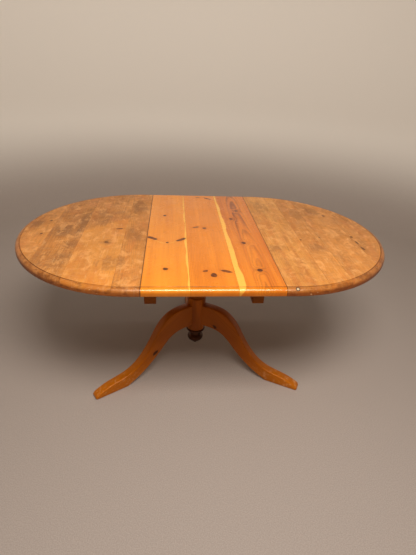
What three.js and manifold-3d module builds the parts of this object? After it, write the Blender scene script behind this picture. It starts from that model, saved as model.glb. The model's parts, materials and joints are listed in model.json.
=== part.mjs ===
// Extending round pedestal table with its centre leaf in place.
// Millimetres, +Z up. The origin is on the floor below the middle of the whole object, which the
// third leg makes deeper than the top. +X is the way the table extends, +Y is towards that leg.
import * as THREE from 'three';
import * as BufferGeometryUtils from 'three/addons/utils/BufferGeometryUtils.js';
import Module from 'manifold-3d';

// ---- Clearances ----
const JOINT_GAP = 0.3; // between glued, screwed or seated pieces
const SLIDE_GAP = 1; // between a tongue and its groove
const RUNNER_SIDE_GAP = 2; // between a runner's side and its guide rail

// ---- Top ----
const TOP_HEIGHT = 760;
const TOP_THICKNESS = 32;
const TOP_WIDTH = 1080; // across the table, and twice the radius of its round ends
const END_STRAIGHT = 33; // straight stretch of an end's sides, between the leaf and the half round
const LEAF_LENGTH = 530;
const LEFT_END_JOINTS = [101, 288, 435]; // from the end's straight edge outwards
const RIGHT_END_JOINTS = [171, 270, 427];
const LEAF_JOINTS = [177, 353]; // from the leaf's left edge
const EDGE_ROUND = 18; // radius of the moulded upper edge
const EDGE_BOTTOM_ROUND = 4;
const QUIRK_DEPTH = 3; // the groove that borders the moulding
const QUIRK_WIDTH = 3;
const QUIRK_STEP = 1.2; // how far the moulding starts below the top face
const EDGE_ROUND_STEPS = 5;
const TOP_SEGMENTS = 72;

// ---- Leaf battens ----
const BATTEN_WIDTH = 50;
const BATTEN_THICKNESS = 22;
const BATTEN_SETBACK = 60; // from the leaf's two straight edges
const BATTEN_OFFSET = 110; // from the table's centre line

// ---- Guide rails and runners ----
const RAIL_LENGTH = 640;
const RAIL_WIDTH = 40;
const RAIL_HEIGHT = 39;
const RAIL_OFFSET = 240; // from the table's centre line
const RAIL_TOP_GAP = 1; // below the underside of the top
const GROOVE_DEPTH = 10;
const GROOVE_HEIGHT = 12;
const RUNNER_WIDTH = 40;
const RUNNER_BOTTOM_GAP = 1; // above the bearers
const RUNNER_PAST_CENTRE = 10; // how far a runner reaches past the pedestal
const RUNNER_SETBACK = 45; // from the edge of the top

// ---- Pedestal ----
const PEDESTAL_X = -26; // the pedestal stands a little left of the leaf's middle
const BEARER_WIDTH = 45;
const BEARER_HEIGHT = 50;
const BEARER_OFFSET = 211; // from the pedestal's axis
const BEARER_SETBACK = 56; // from the edge of the closed top
const STOP_TRAVEL = 25; // how far each end can be drawn out from the leaf
const STOP_LENGTH = 40;
const STOP_HEIGHT = 25;
const TOP_BLOCK_LENGTH = 480;
const TOP_BLOCK_WIDTH = 160;
const TOP_BLOCK_THICKNESS = 40;

// ---- Column ----
const COLUMN_RADIUS = 48;
const COLUMN_BELOW_LEGS = 33; // plain turned length under the legs
const COLUMN_ABOVE_LEGS = 42; // plain turned length over the legs
const NECK_RADIUS = 37;
const VASE_RADIUS = 60;
const UPPER_NECK_RADIUS = 34;
const CAP_RADIUS = 54;
const CAP_HEIGHT = 26;
const CAP_COVE = 14; // hollow between the cap and the bead below it
const NECK_RISE = 8; // from the plain length to the vase
const VASE_BELLY = 0.34; // share of the vase's height at which it is widest
const BEAD_HALF = 7; // half the height of a bead
const BEAD_OUT = 9; // how far a bead stands out
const SMALL_ROUND = 3;
const COLUMN_TENON_RADIUS = 25;
const TURNING_SEGMENTS = 32;

// ---- Legs ----
const LEG_COUNT = 3;
const LEG_REACH = 592; // from the column's axis to the toe
const LEG_TURN = 1.6; // degrees that the legs stand round from square with the top
const LEG_THICKNESS = 46;
const LEG_TOP = 354; // height of the root's upper edge
const LEG_ROOT_BOTTOM = 232;
const LEG_EDGE_ROUND = 5;
const LEG_CURVE_STEPS = 9;
const LEG_TENON_LENGTH = 19;
const LEG_TENON_THICKNESS = 18;
const LEG_TENON_MARGIN = 14; // above and below the tenon

// ---- Finial ----
const FINIAL_COLLAR_RADIUS = 50;
const FINIAL_COLLAR_HEIGHT = 16;
const FINIAL_NECK_RADIUS = 30;
const FINIAL_NECK_HEIGHT = 20;
const FINIAL_BULB_RADIUS = 42;
const FINIAL_BULB_HALF_HEIGHT = 28;
const FINIAL_NUB_RADIUS = 12;
const FINIAL_NUB_HALF_HEIGHT = 12;
const FINIAL_TENON_RADIUS = 10;
const FINIAL_TENON_LENGTH = 24;
const FINIAL_SEGMENTS = 24;

// ---- Fasteners ----
const FASTENER_SIDES = 8;
const WOOD_SCREW = { headRadius: 6, headDepth: 4, shankRadius: 2.8, tipLength: 6 };
const RUNNER_SCREW_LENGTH = 52;
const BATTEN_SCREW_LENGTH = 34;
const RAIL_SCREW_LENGTH = 62;
const SCREW_SINK = 2; // how far a screw's head lies below the wood
const BOLT_HEAD_RADIUS = 8;
const BOLT_HEAD_HEIGHT = 6;
const BOLT_WASHER_RADIUS = 12;
const BOLT_WASHER_THICKNESS = 2;
const BOLT_SHANK_RADIUS = 4;
const BOLT_LENGTH = 72;
const BOLT_OFFSET = 50; // from the table's centre line

// ---- Sizes that follow from those above ----
const topRadius = TOP_WIDTH / 2;
const topUnderside = TOP_HEIGHT - TOP_THICKNESS;
const seamX = LEAF_LENGTH / 2;
const roundX = seamX + END_STRAIGHT; // the middle of each end's half round
const railTop = topUnderside - RAIL_TOP_GAP;
const railBottom = railTop - RAIL_HEIGHT;
const bearerTop = railBottom - JOINT_GAP;
const bearerBottom = bearerTop - BEARER_HEIGHT;
const blockTop = bearerBottom - JOINT_GAP;
const blockBottom = blockTop - TOP_BLOCK_THICKNESS;
const runnerTop = topUnderside - JOINT_GAP;
const runnerBottom = bearerTop + RUNNER_BOTTOM_GAP;
const innerRunnerOffset = RAIL_OFFSET - (RAIL_WIDTH + RUNNER_WIDTH) / 2 - RUNNER_SIDE_GAP;
const outerRunnerOffset = RAIL_OFFSET + (RAIL_WIDTH + RUNNER_WIDTH) / 2 + RUNNER_SIDE_GAP;
const grooveMiddle = (railTop + railBottom) / 2;
const tongueLength = RUNNER_SIDE_GAP + GROOVE_DEPTH - SLIDE_GAP;
const columnBottom = LEG_ROOT_BOTTOM - COLUMN_BELOW_LEGS;
const legShoulder = Math.sqrt(COLUMN_RADIUS ** 2 - (LEG_THICKNESS / 2) ** 2) - 1;
const legTurn = THREE.MathUtils.degToRad(LEG_TURN);
const tableY = (topRadius - Math.max(topRadius, LEG_REACH * Math.cos(legTurn))) / 2;

const wasm = await Module();
wasm.setup();

const model = new THREE.Group();
const table = new THREE.Group();
table.position.y = tableY;
model.add(table);
const pedestal = new THREE.Group();
pedestal.position.x = PEDESTAL_X;
table.add(pedestal);

const WORN_PINE = { color: 0xc98443, roughness: 0.45, metalness: 0 };
const LEAF_PINE = { color: 0xe08a35, roughness: 0.35, metalness: 0 };
const PEDESTAL_PINE = { color: 0xa8621f, roughness: 0.4, metalness: 0 };
const FRAME_PINE = { color: 0xb98a52, roughness: 0.7, metalness: 0 };
const STEEL = { color: 0x9a9a98, roughness: 0.4, metalness: 1 };

// ---- Solid helpers ----

function toSolid(geometry) {
  const bare = geometry.clone();
  bare.deleteAttribute('normal');
  bare.deleteAttribute('uv');
  const merged = BufferGeometryUtils.mergeVertices(bare, 1e-4);
  const mesh = new wasm.Mesh({
    numProp: 3,
    vertProperties: new Float32Array(merged.attributes.position.array),
    triVerts: new Uint32Array(merged.index.array),
  });
  return new wasm.Manifold(mesh);
}

function toGeometry(solid) {
  const mesh = solid.getMesh();
  const geometry = new THREE.BufferGeometry();
  geometry.setAttribute('position', new THREE.BufferAttribute(mesh.vertProperties, 3));
  geometry.setIndex(new THREE.BufferAttribute(mesh.triVerts, 1));
  geometry.computeVertexNormals();
  return geometry;
}

function cut(geometry, tools) {
  const solid = tools.reduce((left, tool) => left.subtract(toSolid(tool)), toSolid(geometry));
  return toGeometry(solid);
}

function join(geometry, other) {
  return toGeometry(toSolid(geometry).add(toSolid(other)));
}

function common(geometry, other) {
  return toGeometry(toSolid(geometry).intersect(toSolid(other)));
}

function boxBetween(low, high) {
  const size = high.map((value, axis) => value - low[axis]);
  const middle = high.map((value, axis) => (value + low[axis]) / 2);
  return new THREE.BoxGeometry(...size).translate(...middle);
}

// A solid of revolution about +Z, from a profile of [radius, height] that starts and ends on it.
function turned(profile, segments) {
  const isNew = ([radius, height], index) => index === 0
    || Math.hypot(radius - profile[index - 1][0], height - profile[index - 1][1]) > 1e-6;
  const points = profile.filter(isNew).map(([radius, height]) => new THREE.Vector2(radius, height));
  return new THREE.LatheGeometry(points, segments).rotateX(Math.PI / 2);
}

// Points along an arc of an ellipse, from one angle to another, in degrees.
function arc(centre, radii, from, to, steps) {
  return Array.from({ length: steps + 1 }, (_, step) => {
    const angle = THREE.MathUtils.degToRad(from + ((to - from) * step) / steps);
    return [centre[0] + radii[0] * Math.cos(angle), centre[1] + radii[1] * Math.sin(angle)];
  });
}

function addPiece(parent, name, geometry, look) {
  const piece = new THREE.Mesh(geometry, new THREE.MeshStandardMaterial(look));
  piece.name = name;
  parent.add(piece);
  return piece;
}

// ---- Fasteners ----

// A countersunk wood screw, head down on z = 0, pointing up +Z.
function woodScrew(length, clearance = 0) {
  const head = WOOD_SCREW.headRadius + clearance;
  const shank = WOOD_SCREW.shankRadius + clearance;
  return turned([
    [0, -clearance],
    [head, -clearance],
    [head, clearance],
    [shank, WOOD_SCREW.headDepth + clearance],
    [shank, length - WOOD_SCREW.tipLength + clearance],
    [0, length + clearance],
  ], FASTENER_SIDES);
}

// The hole for a wood screw, with its head sunk into the wood and open below.
function woodScrewHole(length) {
  const mouth = WOOD_SCREW.headRadius + JOINT_GAP;
  const sink = turned([
    [0, -2 * SCREW_SINK],
    [mouth, -2 * SCREW_SINK],
    [mouth, 0],
    [0, 0],
  ], FASTENER_SIDES);
  return join(woodScrew(length, JOINT_GAP), sink);
}

// A coach bolt with its washer under a hexagon head, pointing up +Z from the washer's face at z = 0.
function coachBolt(clearance = 0) {
  const head = new THREE.CylinderGeometry(BOLT_HEAD_RADIUS, BOLT_HEAD_RADIUS, BOLT_HEAD_HEIGHT, 6)
    .rotateX(Math.PI / 2)
    .translate(0, 0, -BOLT_WASHER_THICKNESS - BOLT_HEAD_HEIGHT / 2 + 0.01);
  const shank = BOLT_SHANK_RADIUS + clearance;
  const rest = turned([
    [0, -BOLT_WASHER_THICKNESS],
    [BOLT_WASHER_RADIUS, -BOLT_WASHER_THICKNESS],
    [BOLT_WASHER_RADIUS, 0],
    [shank, 0],
    [shank, BOLT_LENGTH + clearance],
    [0, BOLT_LENGTH + clearance],
  ], FASTENER_SIDES);
  return join(head, rest);
}

// ---- Top: two half-round ends and the leaf ----

// The moulded edge as [distance in from the edge, height above the underside].
function edgeProfile() {
  const roundCentre = [EDGE_ROUND, TOP_THICKNESS - QUIRK_STEP - EDGE_ROUND];
  const quirkStart = EDGE_ROUND + QUIRK_WIDTH / 2;
  return [
    ...arc([EDGE_BOTTOM_ROUND, EDGE_BOTTOM_ROUND], [EDGE_BOTTOM_ROUND, EDGE_BOTTOM_ROUND], 270, 180, 2),
    ...arc(roundCentre, [EDGE_ROUND, EDGE_ROUND], 180, 90, EDGE_ROUND_STEPS),
    [quirkStart, TOP_THICKNESS - QUIRK_DEPTH],
    [quirkStart + QUIRK_WIDTH / 2, TOP_THICKNESS],
  ];
}

function straightTop(fromX, toX) {
  const side = edgeProfile().map(([inwards, height]) => [topRadius - inwards, height]);
  const outline = [...side, ...side.map(([y, height]) => [-y, height]).reverse()];
  const shape = new THREE.Shape(outline.map(([y, height]) => new THREE.Vector2(y, height)));
  return new THREE.ExtrudeGeometry(shape, { depth: toX - fromX, bevelEnabled: false })
    .applyMatrix4(new THREE.Matrix4().makeBasis(
      new THREE.Vector3(0, 1, 0), new THREE.Vector3(0, 0, 1), new THREE.Vector3(1, 0, 0)))
    .translate(fromX, 0, topUnderside);
}

// A whole disc with a straight stretch up to the leaf. The boards keep only their part of it.
function endTop(outward) {
  const rim = edgeProfile().map(([inwards, height]) => [topRadius - inwards, height]);
  const disc = turned([[0, 0], ...rim, [0, TOP_THICKNESS]], TOP_SEGMENTS)
    .translate(outward * roundX, 0, topUnderside);
  const ends = [outward * seamX, outward * roundX];
  return join(disc, straightTop(Math.min(...ends), Math.max(...ends)));
}

// Where the boards of one part of the top meet, in x, from left to right.
const boardEdges = {
  left: [...LEFT_END_JOINTS.map((joint) => -seamX - joint).reverse(), -seamX],
  leaf: [-seamX, ...LEAF_JOINTS.map((joint) => joint - seamX), seamX],
  right: [seamX, ...RIGHT_END_JOINTS.map((joint) => joint + seamX)],
};
boardEdges.left.unshift(-roundX - topRadius - JOINT_GAP);
boardEdges.right.push(roundX + topRadius + JOINT_GAP);

// The board of one part of the top between two neighbouring joints.
function board(slab, fromX, toX, holes) {
  const slice = boxBetween(
    [fromX + JOINT_GAP / 2, -TOP_WIDTH, topUnderside - 1],
    [toX - JOINT_GAP / 2, TOP_WIDTH, TOP_HEIGHT + 1]);
  const inSlice = ({ x }) => x > fromX && x < toX;
  return cut(common(slab, slice), holes.filter(inSlice).map((hole) => hole.geometry));
}

function addBoards(prefix, slab, edges, look, holes) {
  edges.slice(0, -1).forEach((edge, index) => {
    const geometry = board(slab, edge, edges[index + 1], holes);
    addPiece(table, `${prefix}_board_${index + 1}`, geometry, look);
  });
}

const middleOf = (edges, index) => (edges[index] + edges[index + 1]) / 2;

// ---- Runners: rebated bars under the two ends that slide along the guide rails ----

// How far from a half round's middle a line at this distance from its axis stays under it.
const reachAt = (offset) => Math.sqrt(topRadius ** 2 - offset ** 2);

const runnerSets = [
  {
    side: 'left',
    outward: -1,
    offset: innerRunnerOffset,
    tongueSide: 1,
    screwBoards: [3, 1],
  },
  {
    side: 'right',
    outward: 1,
    offset: outerRunnerOffset,
    tongueSide: -1,
    screwBoards: [0, 2],
  },
];

// The x of a runner's two ends, from the end by the pedestal outwards.
function runnerEnds({ outward, offset }) {
  const inner = PEDESTAL_X - outward * RUNNER_PAST_CENTRE;
  const outerEdge = offset + RUNNER_WIDTH / 2;
  const outer = outward * (roundX + reachAt(outerEdge) - RUNNER_SETBACK);
  return [inner, outer];
}

// Each screw stands in the middle of the stretch of its board that lies over the runner.
function runnerScrewPlaces(set) {
  const ends = runnerEnds(set);
  const edges = boardEdges[set.side];
  const screwX = set.screwBoards.map((index) => {
    const left = Math.max(edges[index], Math.min(...ends));
    const right = Math.min(edges[index + 1], Math.max(...ends));
    return (left + right) / 2;
  });
  return [-1, 1].flatMap((flank) => screwX.map((x) => ({ x, y: flank * set.offset })));
}

function runnerGeometry(set, flank) {
  const ends = runnerEnds(set);
  const [left, right] = [Math.min(...ends), Math.max(...ends)];
  const middle = flank * set.offset;
  const bar = boxBetween(
    [left, middle - RUNNER_WIDTH / 2, runnerBottom],
    [right, middle + RUNNER_WIDTH / 2, runnerTop]);
  const face = middle + (flank * set.tongueSide * RUNNER_WIDTH) / 2;
  const tip = face + flank * set.tongueSide * tongueLength;
  const root = face - flank * set.tongueSide;
  const tongueHalf = GROOVE_HEIGHT / 2 - SLIDE_GAP;
  const tongue = boxBetween(
    [left, Math.min(root, tip), grooveMiddle - tongueHalf],
    [right, Math.max(root, tip), grooveMiddle + tongueHalf]);
  return join(bar, tongue);
}

function addRunners(set) {
  const places = runnerScrewPlaces(set);
  const headZ = runnerBottom + SCREW_SINK;
  [-1, 1].forEach((flank) => {
    const where = flank < 0 ? 'front' : 'back';
    const holes = places
      .filter((place) => Math.sign(place.y) === flank)
      .map((place) => woodScrewHole(RUNNER_SCREW_LENGTH).translate(place.x, place.y, headZ));
    const geometry = cut(runnerGeometry(set, flank), holes);
    addPiece(table, `${set.side}_runner_${where}`, geometry, FRAME_PINE);
    addPiece(table, `${set.side}_stop_block_${where}`, stopBlock(set, flank), FRAME_PINE);
  });
  places.forEach((place, index) => {
    const screw = addPiece(table, `${set.side}_runner_screw_${index + 1}`,
      woodScrew(RUNNER_SCREW_LENGTH), STEEL);
    screw.position.set(place.x, place.y, headZ);
  });
}

// The block under a runner that meets a bearer when its end is drawn fully out.
function stopBlock({ outward, offset }, flank) {
  const bearerFace = PEDESTAL_X + outward * (BEARER_OFFSET - BEARER_WIDTH / 2);
  const near = bearerFace - outward * STOP_TRAVEL;
  const far = near - outward * STOP_LENGTH;
  const middle = flank * offset;
  return boxBetween(
    [Math.min(near, far), middle - RUNNER_WIDTH / 2, runnerBottom - JOINT_GAP - STOP_HEIGHT],
    [Math.max(near, far), middle + RUNNER_WIDTH / 2, runnerBottom - JOINT_GAP]);
}

// The part of each runner screw that enters the top, as holes for the boards.
function runnerHoles(set) {
  return runnerScrewPlaces(set).map(({ x, y }) => ({
    x,
    geometry: woodScrew(RUNNER_SCREW_LENGTH, JOINT_GAP).translate(x, y, runnerBottom + SCREW_SINK),
  }));
}

// ---- Leaf battens ----

const battenTop = topUnderside - JOINT_GAP;
const battenBottom = battenTop - BATTEN_THICKNESS;
const leafScrewX = [0, 1, 2].map((index) => middleOf(boardEdges.leaf, index));
const leafScrewPlaces = [-1, 1].flatMap((flank) =>
  leafScrewX.map((x) => ({ x, y: flank * BATTEN_OFFSET })));

function leafHoles() {
  return leafScrewPlaces.map(({ x, y }) => ({
    x,
    geometry: woodScrew(BATTEN_SCREW_LENGTH, JOINT_GAP).translate(x, y, battenBottom + SCREW_SINK),
  }));
}

function addLeafBattens() {
  const reach = seamX - BATTEN_SETBACK;
  [-1, 1].forEach((flank) => {
    const middle = flank * BATTEN_OFFSET;
    const bar = boxBetween(
      [-reach, middle - BATTEN_WIDTH / 2, battenBottom],
      [reach, middle + BATTEN_WIDTH / 2, battenTop]);
    const holes = leafScrewPlaces
      .filter((place) => Math.sign(place.y) === flank)
      .map(({ x, y }) => woodScrewHole(BATTEN_SCREW_LENGTH)
        .translate(x, y, battenBottom + SCREW_SINK));
    addPiece(table, `leaf_batten_${flank < 0 ? 'front' : 'back'}`, cut(bar, holes), FRAME_PINE);
  });
  leafScrewPlaces.forEach(({ x, y }, index) => {
    const screw = addPiece(table, `leaf_batten_screw_${index + 1}`,
      woodScrew(BATTEN_SCREW_LENGTH), STEEL);
    screw.position.set(x, y, battenBottom + SCREW_SINK);
  });
}

// ---- Guide rails, bearers and top block, in the pedestal's own frame ----

const railScrewPlaces = [-1, 1].flatMap((flank) =>
  [-1, 1].map((end) => ({ x: end * BEARER_OFFSET, y: flank * RAIL_OFFSET })));
const boltPlaces = [-1, 1].flatMap((end) =>
  [-1, 1].map((flank) => ({ x: end * BEARER_OFFSET, y: flank * BOLT_OFFSET })));
const pointDown = (geometry) => geometry.rotateX(Math.PI);

function addGuideRails() {
  const headZ = railTop - SCREW_SINK;
  [-1, 1].forEach((flank) => {
    const middle = flank * RAIL_OFFSET;
    const half = RAIL_WIDTH / 2;
    const bar = boxBetween(
      [-RAIL_LENGTH / 2, middle - half, railBottom],
      [RAIL_LENGTH / 2, middle + half, railTop]);
    const grooves = [-1, 1].map((side) => {
      const face = middle + side * half;
      const floor = face - side * GROOVE_DEPTH;
      return boxBetween(
        [-RAIL_LENGTH, Math.min(floor, face + side), grooveMiddle - GROOVE_HEIGHT / 2],
        [RAIL_LENGTH, Math.max(floor, face + side), grooveMiddle + GROOVE_HEIGHT / 2]);
    });
    const holes = railScrewPlaces
      .filter((place) => Math.sign(place.y) === flank)
      .map(({ x, y }) => pointDown(woodScrewHole(RAIL_SCREW_LENGTH)).translate(x, y, headZ));
    const name = `guide_rail_${flank < 0 ? 'front' : 'back'}`;
    addPiece(pedestal, name, cut(bar, [...grooves, ...holes]), FRAME_PINE);
  });
  railScrewPlaces.forEach(({ x, y }, index) => {
    const screw = addPiece(pedestal, `guide_rail_screw_${index + 1}`,
      pointDown(woodScrew(RAIL_SCREW_LENGTH)), STEEL);
    screw.position.set(x, y, headZ);
  });
}

function addBearers() {
  const outerFace = BEARER_OFFSET + BEARER_WIDTH / 2;
  const reach = reachAt(outerFace - END_STRAIGHT) - BEARER_SETBACK;
  [-1, 1].forEach((end) => {
    const middle = end * BEARER_OFFSET;
    const bar = boxBetween(
      [middle - BEARER_WIDTH / 2, -reach, bearerBottom],
      [middle + BEARER_WIDTH / 2, reach, bearerTop]);
    const onThisBearer = (place) => Math.sign(place.x) === end;
    const screwHoles = railScrewPlaces.filter(onThisBearer).map(({ x, y }) =>
      pointDown(woodScrew(RAIL_SCREW_LENGTH, JOINT_GAP)).translate(x, y, railTop - SCREW_SINK));
    const boltHoles = boltPlaces.filter(onThisBearer).map(({ x, y }) =>
      coachBolt(JOINT_GAP).translate(x, y, blockBottom - JOINT_GAP));
    const name = `${end < 0 ? 'left' : 'right'}_bearer`;
    addPiece(pedestal, name, cut(bar, [...screwHoles, ...boltHoles]), PEDESTAL_PINE);
  });
}

function addTopBlock() {
  const plank = boxBetween(
    [-TOP_BLOCK_LENGTH / 2, -TOP_BLOCK_WIDTH / 2, blockBottom],
    [TOP_BLOCK_LENGTH / 2, TOP_BLOCK_WIDTH / 2, blockTop]);
  const tenonHole = turned([
    [0, blockBottom - 1],
    [COLUMN_TENON_RADIUS + JOINT_GAP, blockBottom - 1],
    [COLUMN_TENON_RADIUS + JOINT_GAP, blockTop + 1],
    [0, blockTop + 1],
  ], TURNING_SEGMENTS);
  const boltHoles = boltPlaces.map(({ x, y }) =>
    coachBolt(JOINT_GAP).translate(x, y, blockBottom - JOINT_GAP));
  addPiece(pedestal, 'top_block', cut(plank, [tenonHole, ...boltHoles]), PEDESTAL_PINE);
  boltPlaces.forEach(({ x, y }, index) => {
    const bolt = addPiece(pedestal, `bearer_bolt_${index + 1}`, coachBolt(), STEEL);
    bolt.position.set(x, y, blockBottom - JOINT_GAP);
  });
}

// ---- Column, in the pedestal's own frame ----

function columnProfile() {
  const plainTop = LEG_TOP + COLUMN_ABOVE_LEGS;
  const shoulder = blockBottom - JOINT_GAP;
  const capBottom = shoulder - CAP_HEIGHT;
  const beadBottom = capBottom - CAP_COVE - 2 * BEAD_HALF;
  const vaseBottom = plainTop + NECK_RISE;
  const vaseMiddle = vaseBottom + (beadBottom - vaseBottom) * VASE_BELLY;
  return [
    [0, columnBottom],
    [COLUMN_RADIUS - SMALL_ROUND, columnBottom],
    [COLUMN_RADIUS, columnBottom + SMALL_ROUND],
    ...arc([COLUMN_RADIUS - BEAD_HALF, plainTop - BEAD_HALF], [BEAD_HALF, BEAD_HALF], 0, 90, 3),
    ...arc([NECK_RADIUS, vaseMiddle], [VASE_RADIUS - NECK_RADIUS, vaseMiddle - vaseBottom],
      -90, 0, 5),
    ...arc([UPPER_NECK_RADIUS, vaseMiddle],
      [VASE_RADIUS - UPPER_NECK_RADIUS, beadBottom - vaseMiddle], 0, 90, 6),
    ...arc([UPPER_NECK_RADIUS, beadBottom + BEAD_HALF], [BEAD_OUT, BEAD_HALF], -90, 90, 4),
    ...arc([CAP_RADIUS - SMALL_ROUND, capBottom - CAP_COVE],
      [CAP_RADIUS - SMALL_ROUND - UPPER_NECK_RADIUS, CAP_COVE], 180, 90, 4),
    [CAP_RADIUS, capBottom + SMALL_ROUND],
    [CAP_RADIUS, shoulder],
    [COLUMN_TENON_RADIUS, shoulder],
    [COLUMN_TENON_RADIUS, blockTop],
    [0, blockTop],
  ];
}

// The seat and mortise that a leg's root takes in the column, for a leg along +X.
function legHousing() {
  const width = LEG_THICKNESS / 2 + JOINT_GAP;
  const seat = boxBetween(
    [legShoulder - JOINT_GAP, -width, LEG_ROOT_BOTTOM - JOINT_GAP],
    [COLUMN_RADIUS + 1, width, LEG_TOP + JOINT_GAP]);
  return join(seat, legTenon(JOINT_GAP));
}

function legTenon(clearance = 0) {
  const half = LEG_TENON_THICKNESS / 2 + clearance;
  return boxBetween(
    [legShoulder - LEG_TENON_LENGTH - clearance, -half,
      LEG_ROOT_BOTTOM + LEG_TENON_MARGIN - clearance],
    [legShoulder + 1, half, LEG_TOP - LEG_TENON_MARGIN + clearance]);
}

// The legs stand evenly round the column, the third one towards the back.
const legTurns = Array.from({ length: LEG_COUNT }, (_, index) =>
  Math.PI / 2 + legTurn + ((index + 1) * 2 * Math.PI) / LEG_COUNT);

function addColumn() {
  const housings = legTurns.map((turn) => legHousing().rotateZ(turn));
  const finialHole = finialTenon(JOINT_GAP);
  const geometry = cut(turned(columnProfile(), TURNING_SEGMENTS), [...housings, finialHole]);
  addPiece(pedestal, 'column', geometry, PEDESTAL_PINE);
}

// ---- Legs: sawn planks with an S-shaped outline ----

// The outline stands in a plane through the column's axis: x is the distance from the axis.
function legOutline() {
  const out = (share) => legShoulder + share * (LEG_REACH - legShoulder);
  const up = (share) => share * LEG_TOP;
  const outline = new THREE.Shape();
  outline.moveTo(legShoulder, LEG_TOP);
  outline.bezierCurveTo(out(0.16), LEG_TOP, out(0.264), up(1.02), out(0.388), up(0.683));
  outline.bezierCurveTo(out(0.622), up(0.03), out(0.749), up(0.259), out(0.971), up(0.076));
  outline.lineTo(out(0.99), up(0.055));
  outline.lineTo(LEG_REACH, up(0.031));
  outline.lineTo(LEG_REACH, 0);
  outline.lineTo(out(0.689), 0);
  outline.bezierCurveTo(out(0.647), up(0.054), out(0.518), up(0.099), out(0.3265), up(0.438));
  outline.bezierCurveTo(out(0.21), up(0.644), out(0.16), LEG_ROOT_BOTTOM, legShoulder,
    LEG_ROOT_BOTTOM);
  return outline;
}

function legGeometry() {
  const plank = new THREE.ExtrudeGeometry(legOutline(), {
    depth: LEG_THICKNESS - 2 * LEG_EDGE_ROUND,
    curveSegments: LEG_CURVE_STEPS,
    bevelThickness: LEG_EDGE_ROUND,
    bevelSize: LEG_EDGE_ROUND,
    bevelOffset: -LEG_EDGE_ROUND,
    bevelSegments: 2,
  })
    .translate(0, 0, LEG_EDGE_ROUND - LEG_THICKNESS / 2)
    .rotateX(Math.PI / 2);
  return join(plank, legTenon());
}

function addLegs() {
  legTurns.forEach((turn, index) => {
    const leg = addPiece(pedestal, `leg_${index + 1}`, legGeometry(), PEDESTAL_PINE);
    leg.rotation.z = turn;
  });
}

// ---- Finial: the turned drop that closes the column's foot ----

function finialTenon(clearance = 0) {
  return turned([
    [0, columnBottom - 1],
    [FINIAL_TENON_RADIUS + clearance, columnBottom - 1],
    [FINIAL_TENON_RADIUS + clearance, columnBottom + FINIAL_TENON_LENGTH + clearance],
    [0, columnBottom + FINIAL_TENON_LENGTH + clearance],
  ], FINIAL_SEGMENTS);
}

function addFinial() {
  const top = columnBottom - JOINT_GAP;
  const collarBottom = top - FINIAL_COLLAR_HEIGHT;
  const collarHalf = FINIAL_COLLAR_HEIGHT / 2;
  const bulbMiddle = collarBottom - FINIAL_NECK_HEIGHT - FINIAL_BULB_HALF_HEIGHT;
  const nubMiddle = bulbMiddle - FINIAL_BULB_HALF_HEIGHT - FINIAL_NUB_HALF_HEIGHT / 2;
  const profile = [
    [0, nubMiddle - FINIAL_NUB_HALF_HEIGHT],
    ...arc([0, nubMiddle], [FINIAL_NUB_RADIUS, FINIAL_NUB_HALF_HEIGHT], -60, 30, 3),
    ...arc([0, bulbMiddle], [FINIAL_BULB_RADIUS, FINIAL_BULB_HALF_HEIGHT], -75, 45, 7),
    [FINIAL_NECK_RADIUS, collarBottom],
    ...arc([FINIAL_COLLAR_RADIUS - collarHalf, top - collarHalf], [collarHalf, collarHalf],
      -90, 90, 4),
    [0, top],
  ];
  const drop = turned(profile, FINIAL_SEGMENTS);
  addPiece(pedestal, 'finial', join(drop, finialTenon()), PEDESTAL_PINE);
}

// ---- Assembly ----

const holesInEnds = new Map(runnerSets.map((set) => [set.side, runnerHoles(set)]));
addBoards('left_end', endTop(-1), boardEdges.left, WORN_PINE, holesInEnds.get('left'));
addBoards('right_end', endTop(1), boardEdges.right, WORN_PINE, holesInEnds.get('right'));
addBoards('leaf', straightTop(-seamX, seamX), boardEdges.leaf, LEAF_PINE, leafHoles());
addLeafBattens();
runnerSets.forEach(addRunners);
addGuideRails();
addBearers();
addTopBlock();
addColumn();
addLegs();
addFinial();

export default model;
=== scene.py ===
"""An extending round pine table with its centre leaf in place: looks, light and camera.

Everything is in metres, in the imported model's frame: +Z up, +X along the way the table extends.
"""

import functools
import json
import math

import bmesh
import bpy
from mathutils import Matrix, Vector

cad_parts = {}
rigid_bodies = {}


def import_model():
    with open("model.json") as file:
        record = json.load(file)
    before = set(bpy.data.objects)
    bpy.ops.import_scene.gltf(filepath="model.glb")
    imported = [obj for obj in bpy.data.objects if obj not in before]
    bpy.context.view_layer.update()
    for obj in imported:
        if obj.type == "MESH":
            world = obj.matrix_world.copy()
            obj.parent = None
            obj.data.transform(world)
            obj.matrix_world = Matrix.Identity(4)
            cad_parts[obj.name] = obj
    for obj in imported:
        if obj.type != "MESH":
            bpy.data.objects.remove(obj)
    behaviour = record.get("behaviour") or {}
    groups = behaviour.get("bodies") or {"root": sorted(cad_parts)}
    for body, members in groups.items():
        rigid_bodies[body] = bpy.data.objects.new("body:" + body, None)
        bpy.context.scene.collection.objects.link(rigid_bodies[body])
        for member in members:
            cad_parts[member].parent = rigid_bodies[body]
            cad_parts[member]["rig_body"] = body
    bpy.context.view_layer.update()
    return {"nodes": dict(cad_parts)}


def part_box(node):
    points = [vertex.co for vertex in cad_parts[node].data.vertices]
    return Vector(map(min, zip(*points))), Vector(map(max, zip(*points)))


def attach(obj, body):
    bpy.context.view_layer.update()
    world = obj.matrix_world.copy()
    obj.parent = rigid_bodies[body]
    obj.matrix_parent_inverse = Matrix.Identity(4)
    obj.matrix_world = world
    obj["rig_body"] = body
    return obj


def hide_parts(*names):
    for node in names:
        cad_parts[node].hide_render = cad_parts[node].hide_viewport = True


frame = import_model()
MM = 0.001

# ---- Sizes, read from the frame ----

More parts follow.
